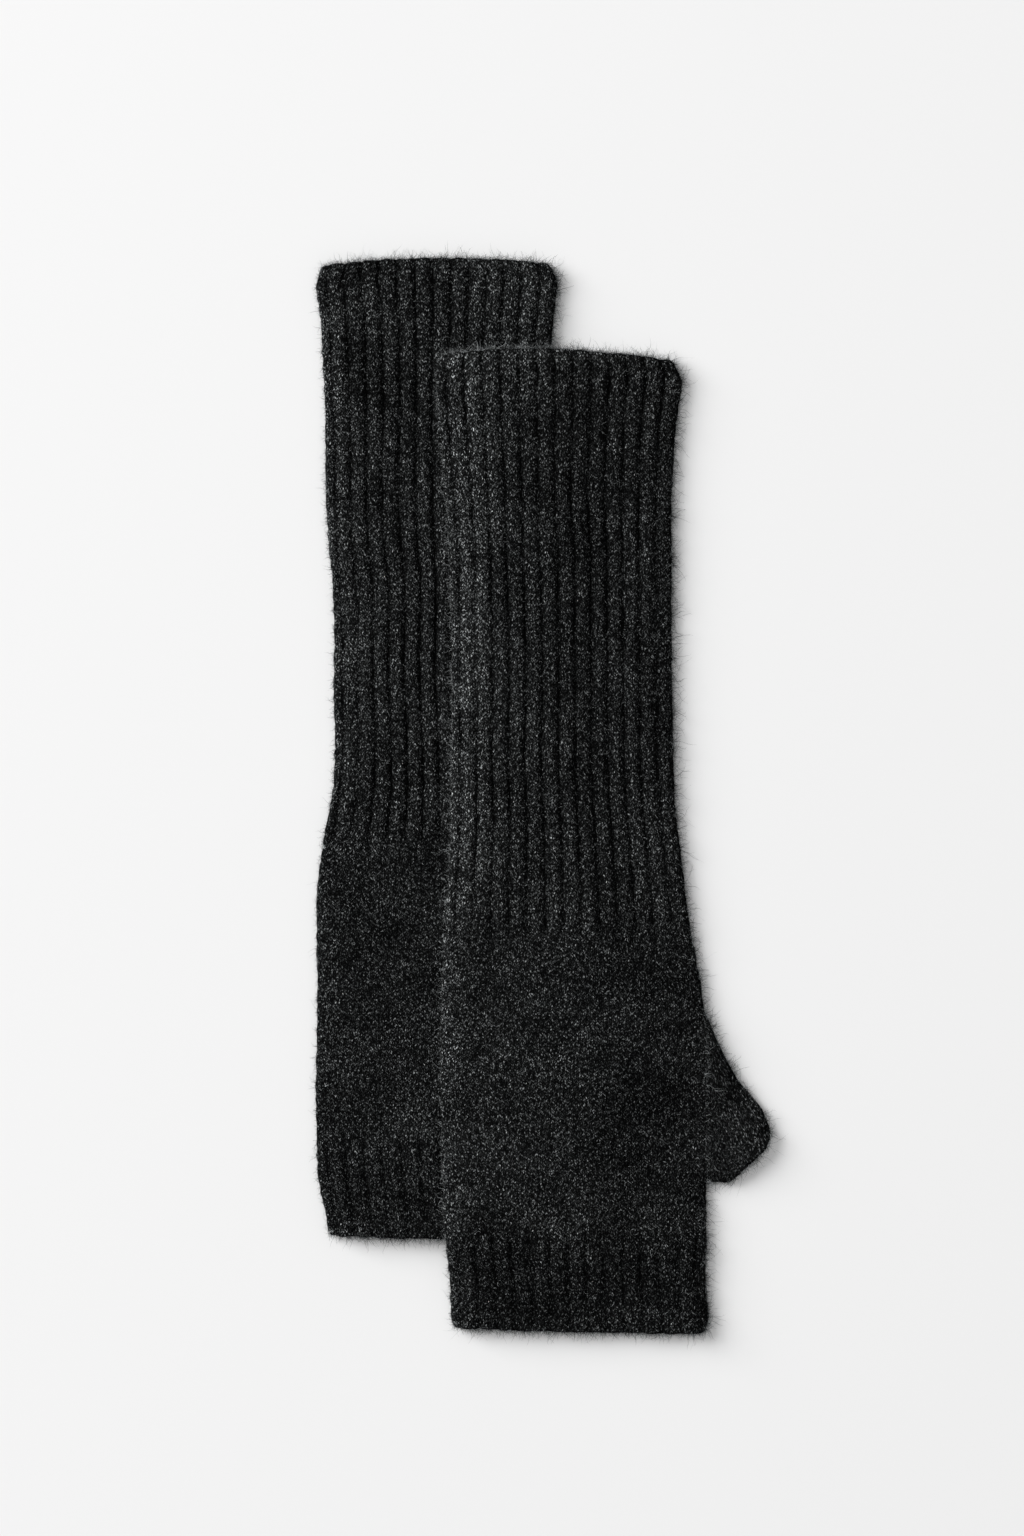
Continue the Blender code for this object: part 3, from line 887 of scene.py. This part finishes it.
def sow(mitten, outer):
    """Roots of fibres on an outer face: their places, the face's normals, and a share that
    says how much each lies on a fold or rim."""
    grid = outer.points
    across = grid[:-1, 1:] - grid[:-1, :-1]
    down = grid[1:, :-1] - grid[:-1, :-1]
    normal = np.cross(down, across)
    area = np.linalg.norm(normal, axis=-1)
    normal = unit(normal) * np.sign(normal[:, FOLD_COLUMNS, 2].sum())
    corner = grid[:-1, :-1]
    edge = smooth((EDGE_START - normal[..., 2]) / EDGE_SPAN)
    density = FUZZ_DENSITY + EDGE_DENSITY * edge
    density = np.where(normal[..., 2] > UNDERSIDE, density, 0.0)
    if mitten is BACK:
        covered = FRONT_OUTSIDE.at(corner[..., 0], corner[..., 1]) < -COVERED
        density = np.where(covered, 0.0, density)
    chance = (area * density).reshape(-1)
    total = int(chance.sum())
    chosen = rng.choice(len(chance), total, p=chance / chance.sum())
    i, j = np.unravel_index(chosen, area.shape)
    u = rng.uniform(size=(total, 1))
    v = rng.uniform(size=(total, 1))
    roots = corner[i, j] + across[i, j] * u + down[i, j] * v
    return roots - ROOT_DEPTH * normal[i, j], normal[i, j], edge[i, j]


def add_fuzz(name, mitten, outer, material):
    """The fibres of a piece: short ones all over and long curled ones at its edges."""
    roots, normals, edge = sow(mitten, outer)
    loose = rng.normal(size=roots.shape)
    loose -= (loose * normals).sum(1, keepdims=True) * normals
    long = rng.uniform(size=len(roots)) < LONG_SHARE * edge
    stand = STAND + EDGE_STAND * edge * rng.uniform(0.2, 1.0, len(edge)) + LONG_STAND * long
    ways = unit(unit(loose) * (1.0 - EDGE_LEAN * edge)[:, None] + normals * stand[:, None])
    lengths = rng.uniform(SHORT_LENGTH[0], SHORT_LENGTH[1] + EDGE_LONGER * edge)
    lengths = np.where(long, rng.uniform(*LONG_LENGTH, len(roots)), lengths)
    lengths *= 1.0 + LEE_HAIR * normals[:, 0]
    tones = rng.uniform(TONES[0] + EDGE_TONE * edge, TONES[1])
    points = []
    groups = []
    first = 0
    for chosen, kind in ((~long, SHORT), (long, LONG)):
        made, faces = fibres(roots[chosen], ways[chosen], lengths[chosen], tones[chosen], kind)
        groups += [Faces(f.corners + first, None, f.bake) for f in faces]
        points.append(made)
        first += len(made)
    mesh = new_mesh(name, np.concatenate(points), groups, {})
    return add_piece(name, mesh, material)


# ---- Materials ----

class Nodes:
    """Short calls for building a material's nodes."""

    def __init__(self, name):
        self.material = bpy.data.materials.new(name)
        self.material.use_nodes = True
        self.tree = self.material.node_tree
        self.shader = self.tree.nodes["Principled BSDF"]

    def link(self, source, target):
        self.tree.links.new(source, target)

    def feed(self, target, value):
        """Give an input a constant, or the output of another node."""
        if isinstance(value, bpy.types.NodeSocket):
            self.link(value, target)
        else:
            target.default_value = value

    def node(self, kind, inputs=None, **settings):
        made = self.tree.nodes.new(kind)
        for key, value in settings.items():
            setattr(made, key, value)
        for key, value in (inputs or {}).items():
            self.feed(made.inputs[key], value)
        return made

    def math(self, operation, a, b=0.0, c=0.0):
        made = self.node("ShaderNodeMath", operation=operation)
        for target, value in zip(made.inputs, (a, b, c)):
            self.feed(target, value)
        return made.outputs[0]

    def noise(self, vector, scale, detail=2.0):
        inputs = {"Vector": vector, "Scale": scale, "Detail": detail}
        return self.node("ShaderNodeTexNoise", inputs).outputs["Fac"]

    def mapped(self, vector, scale, angle):
        inputs = {"Vector": vector, "Scale": scale, "Rotation": (0.0, 0.0, angle)}
        return self.node("ShaderNodeMapping", inputs).outputs[0]

    def between(self, share, low, high):
        """low where share is 0 and high where it is 1."""
        return self.math("MULTIPLY_ADD", share, self.math("SUBTRACT", high, low), low)

    def bump(self, height, distance):
        inputs = {"Strength": RELIEF_STRENGTH, "Distance": distance, "Height": height}
        return self.node("ShaderNodeBump", inputs)

    def paint(self, bright, tint):
        """Give the surface a tint of the given brightness."""
        color = self.node("ShaderNodeCombineColor")
        for target, share in zip(color.inputs, tint):
            self.link(self.math("MULTIPLY", bright, share), target)
        self.link(color.outputs[0], self.shader.inputs["Base Color"])

    def gloss(self, roughness, specular):
        self.shader.inputs["Roughness"].default_value = roughness
        self.shader.inputs["Specular IOR Level"].default_value = specular


YARN_TINT = (0.95, 1.0, 1.01)
YARN_DARK = 0.001  # painted shade between the stitches
YARN_PALE = 0.8  # the palest that a fleck can be
RIB_LIGHT = 1.36  # strength of the flecks on the ribs
PLAIN_LIGHT = 1.10  # and on the plain knit
FLECKS_ACROSS = 4.0  # flecks across a column of stitches
FLECKS_ALONG = 2.0  # and along a row of them
FLECK_RARITY = 7.0  # the higher, the fewer of them are pale
FLECK_LEAST = 0.03  # strength of the darkest
STITCH_SLANT = 0.85  # how far a stitch's legs slant, in courses a half wale
LEG_ENDS = 0.4  # relief that is left at the ends of a leg
STRAY_SCALES = (260.0, 310.0)  # of the noises that shift the stitches across and along
STRAYS = (0.9, 1.1)  # how far, in wales and in courses
STRAY_TURN = 1.1  # turns the second noise away from the first
HAZE_SCALE = 1900.0  # of the fibres that lie over the stitches
HAZE_STRETCH = (1.0, 0.6, 1.0)
HAZE_SLANT = 0.8  # they lie to the left and right at this angle
HAZE_GAIN = 5.0  # how sharply they stand out of their noise
HAZE_CUT = -2.75
HAZE_LEAST = 0.1  # light that is left between them
PATCH_SCALE = 70.0  # of lighter and darker patches
PATCH_RANGE = (0.1, 1.9)
PLAIN_VALLEY = 0.6  # painted shade: share of its light that plain knit loses between ribs
RIB_VALLEY = 0.95  # and ribbed knit
STITCH_RELIEF = 0.0005  # in metres
HAZE_RELIEF = 0.0003
RELIEF_STRENGTH = 0.8
KNIT_ROUGHNESS = 0.95
HAIR_RARITY = 4.0  # the higher, the fewer of the loose fibres are pale
HAIR_LIGHT = 0.55
HAIR_DARK = 0.004
HAIR_ROUGHNESS = 0.6
HAIR_GLOSS = 0.03


def knit_material(name, valley_shade, light):
    """Brushed stockinet: V-shaped stitches under a haze of lighter fibres."""
    n = Nodes(name)
    uv = n.node("ShaderNodeUVMap", uv_map="stitches").outputs[0]
    place = n.node("ShaderNodeTexCoord").outputs["Object"]
    apart = n.node("ShaderNodeSeparateXYZ", {"Vector": uv})
    turned = n.mapped(place, (1.0, 1.0, 1.0), STRAY_TURN)
    stray = n.math("SUBTRACT", n.noise(place, STRAY_SCALES[0]), 0.5)
    stray_up = n.math("SUBTRACT", n.noise(turned, STRAY_SCALES[1]), 0.5)
    wale = n.math("MULTIPLY_ADD", stray, STRAYS[0], apart.outputs[0])
    course = n.math("MULTIPLY_ADD", stray_up, STRAYS[1], apart.outputs[1])

    from_middle = n.math("ABSOLUTE", n.math("SUBTRACT", n.math("FRACT", wale), 0.5))
    slanted = n.math("MULTIPLY_ADD", from_middle, 2 * STITCH_SLANT, course)
    across_leg = n.math("MULTIPLY_ADD", n.math("FRACT", slanted), 2.0, -1.0)
    strand = n.math("SUBTRACT", 1.0, n.math("MULTIPLY", across_leg, across_leg))
    along_leg = n.math("MULTIPLY_ADD", from_middle, 4.0, -1.0)
    leg = n.math("SUBTRACT", 1.0, n.math("MULTIPLY", along_leg, along_leg))
    relief = n.math("MULTIPLY", strand, n.math("MULTIPLY_ADD", leg, 1.0 - LEG_ENDS, LEG_ENDS))

    cell = n.node("ShaderNodeCombineXYZ", {
        "X": n.math("FLOOR", n.math("MULTIPLY", wale, FLECKS_ACROSS)),
        "Y": n.math("FLOOR", n.math("MULTIPLY", slanted, FLECKS_ALONG))}).outputs[0]
    chance = n.node("ShaderNodeTexWhiteNoise", {"Vector": cell}, noise_dimensions="2D")
    fleck = n.math("POWER", chance.outputs["Value"], FLECK_RARITY)
    leaning = [n.noise(n.mapped(place, HAZE_STRETCH, slant), HAZE_SCALE, 1.0)
               for slant in (HAZE_SLANT, -HAZE_SLANT)]
    haze = n.math("MULTIPLY_ADD", n.math("MAXIMUM", *leaning), HAZE_GAIN, HAZE_CUT)
    haze = n.math("MINIMUM", n.math("MAXIMUM", haze, 0.0), 1.0)

    # the stitches' pattern, with painted shade darkening the gaps between their legs
    tone = n.math("MULTIPLY", relief, n.between(fleck, FLECK_LEAST, 1.0))
    tone = n.math("MULTIPLY", tone, n.between(haze, HAZE_LEAST, 1.0))
    patches = n.noise(place, PATCH_SCALE, 3.0)
    tone = n.math("MULTIPLY", tone, n.between(patches, *PATCH_RANGE))
    # painted shade in the rib valleys, on the lower layer and on the inner faces
    valley = n.node("ShaderNodeAttribute", attribute_name="valley").outputs["Fac"]
    tone = n.math("MULTIPLY", tone, n.math("MULTIPLY_ADD", valley, -valley_shade, 1.0))
    # painted light and shade: the tone is raised or lowered by this share
    nap = n.node("ShaderNodeAttribute", attribute_name="nap").outputs["Fac"]
    tone = n.math("MULTIPLY", tone, n.math("ADD", nap, 1.0))
    bright = n.math("MINIMUM", n.math("MULTIPLY_ADD", tone, light, YARN_DARK), YARN_PALE)
    n.paint(bright, YARN_TINT)

    stitches = n.bump(relief, STITCH_RELIEF)
    over = n.bump(haze, HAZE_RELIEF)
    n.link(stitches.outputs[0], over.inputs["Normal"])
    n.link(over.outputs[0], n.shader.inputs["Normal"])
    n.gloss(KNIT_ROUGHNESS, 0.0)
    return n.material


def fibre_material(name):
    """Loose fibres, from dark to pale grey. The tone is kept in the fibre's UV map."""
    n = Nodes(name)
    uv = n.node("ShaderNodeUVMap", uv_map="OFBake").outputs[0]
    apart = n.node("ShaderNodeSeparateXYZ", {"Vector": uv})
    tone = n.math("POWER", apart.outputs[0], HAIR_RARITY)
    bright = n.math("MULTIPLY_ADD", tone, HAIR_LIGHT, HAIR_DARK)
    n.paint(bright, YARN_TINT)
    n.gloss(HAIR_ROUGHNESS, HAIR_GLOSS)
    return n.material


# ---- Pieces ----

def row_stations(place, step, open_ends):
    """Stations of a piece's sections."""
    start = place.ends[0] + (LIP if open_ends[0] else JOIN)
    end = place.ends[1] - (LIP if open_ends[1] else JOIN)
    return np.linspace(start, end, round((end - start) / step) + 1)


def build_piece(mitten, part, place, open_ends, material, fibre):
    """One fine piece with its fuzz, in place of its solid."""
    node = f"{mitten.name}_{part}"
    stations = row_stations(place, ROW_STEP[part], open_ends)
    bare = outer_face(mitten, place, stations, TOP_COLUMNS[part])
    inner_count = max(4, round((stations[-1] - stations[0]) / INNER_STEP))
    inner = inner_face(mitten, place, np.linspace(stations[0], stations[-1], inner_count))
    outer = with_lips(bare, inner, place, open_ends)
    shell = add_piece(f"{node}_knit", wall_mesh(node, outer, inner, open_ends), material)
    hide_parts(node)
    hidden = mitten is BACK and part == "thumb"
    fuzz = [] if hidden else [add_fuzz(f"{node}_fuzz", mitten, outer, fibre)]
    widths = place.width(stations)


def build_mitten(mitten, plain, ribbed, fibre):
    """All the pieces of one mitten."""
    build_piece(mitten, "arm_rib", body_place(mitten, 0.0, ARM_LENGTH), (True, False),
                ribbed, fibre)
    build_piece(mitten, "hand", body_place(mitten, ARM_LENGTH, BAND_START), (False, False),
                plain, fibre)
    build_piece(mitten, "finger_rib", body_place(mitten, BAND_START, MITTEN_LENGTH),
                (False, True), ribbed, fibre)
    build_piece(mitten, "thumb", thumb_place(mitten), (False, True), plain, fibre)


# ---- Floor, light and camera ----

VIEW_CENTRE = (-11.55, 9.8)  # the point of the floor under the camera
VIEW_LENGTH = 537.6  # what the picture's long side takes in at the cloth's level
CLOTH_LEVEL = 5.0
LENS = 100.0
SENSOR = 36.0

# From here on sizes are in metres, and powers in watts.
CLIP_END = 50.0
FLOOR_SIZE = 24.0
FLOOR_DROP = 0.0001
FLOOR_TONE = 0.82
UP = Vector((0.0, 0.0, 1.0))
KEY_WAY = Vector((-0.81, 0.38, 0.45))  # low and from the left, across the ribs
KEY_DISTANCE = 7.5
KEY_SIZE = 5.2
KEY_POWER = 820.0
TOP_HEIGHT = 5.0
TOP_SIZE = 4.5
TOP_POWER = 60.0
FILL = 0.30  # strength of the white surroundings


def add_softbox(name, way, distance, size, power):
    """A round soft light that faces the mittens from the given way."""
    lamp = bpy.data.lights.new(name, "AREA")
    lamp.shape = "DISK"
    lamp.size = size
    lamp.energy = power
    softbox = bpy.data.objects.new(name, lamp)
    softbox.location = way.normalized() * distance
    softbox.rotation_euler = way.to_track_quat("Z", "Y").to_euler()
    bpy.context.scene.collection.objects.link(softbox)


def build_stage():
    """The pale floor, a large soft light from the upper left, a weaker one above, a pale fill
    and the camera."""
    scene = bpy.context.scene
    bpy.ops.mesh.primitive_plane_add(size=FLOOR_SIZE, location=(0.0, 0.0, -FLOOR_DROP))
    floor = bpy.context.object
    floor.name = "floor"
    finish = Nodes("floor_paint")
    finish.shader.inputs["Base Color"].default_value = (FLOOR_TONE, FLOOR_TONE, FLOOR_TONE, 1.0)
    finish.gloss(1.0, 0.0)
    floor.data.materials.append(finish.material)

    add_softbox("key", KEY_WAY, KEY_DISTANCE, KEY_SIZE, KEY_POWER)
    add_softbox("top", UP, TOP_HEIGHT, TOP_SIZE, TOP_POWER)

    world = bpy.data.worlds.new("studio")
    world.use_nodes = True
    around = world.node_tree.nodes["Background"].inputs
    around["Color"].default_value = (1.0, 1.0, 1.0, 1.0)
    around["Strength"].default_value = FILL
    scene.world = world
    scene.view_settings.view_transform = "Standard"

    lens = bpy.data.cameras.new("camera")
    lens.lens = LENS
    lens.sensor_width = SENSOR
    lens.clip_end = CLIP_END
    camera = bpy.data.objects.new("camera", lens)
    distance = VIEW_LENGTH * LENS / SENSOR
    camera.location = Vector((*VIEW_CENTRE, CLOTH_LEVEL + distance)) * MM
    scene.collection.objects.link(camera)
    scene.camera = camera


def main():
    plain = knit_material("plain_knit_looks", PLAIN_VALLEY, PLAIN_LIGHT)
    ribbed = knit_material("rib_knit_looks", RIB_VALLEY, RIB_LIGHT)
    fibre = fibre_material("loose_fibres")
    for mitten in (BACK, FRONT):
        build_mitten(mitten, plain, ribbed, fibre)
    build_stage()


main()
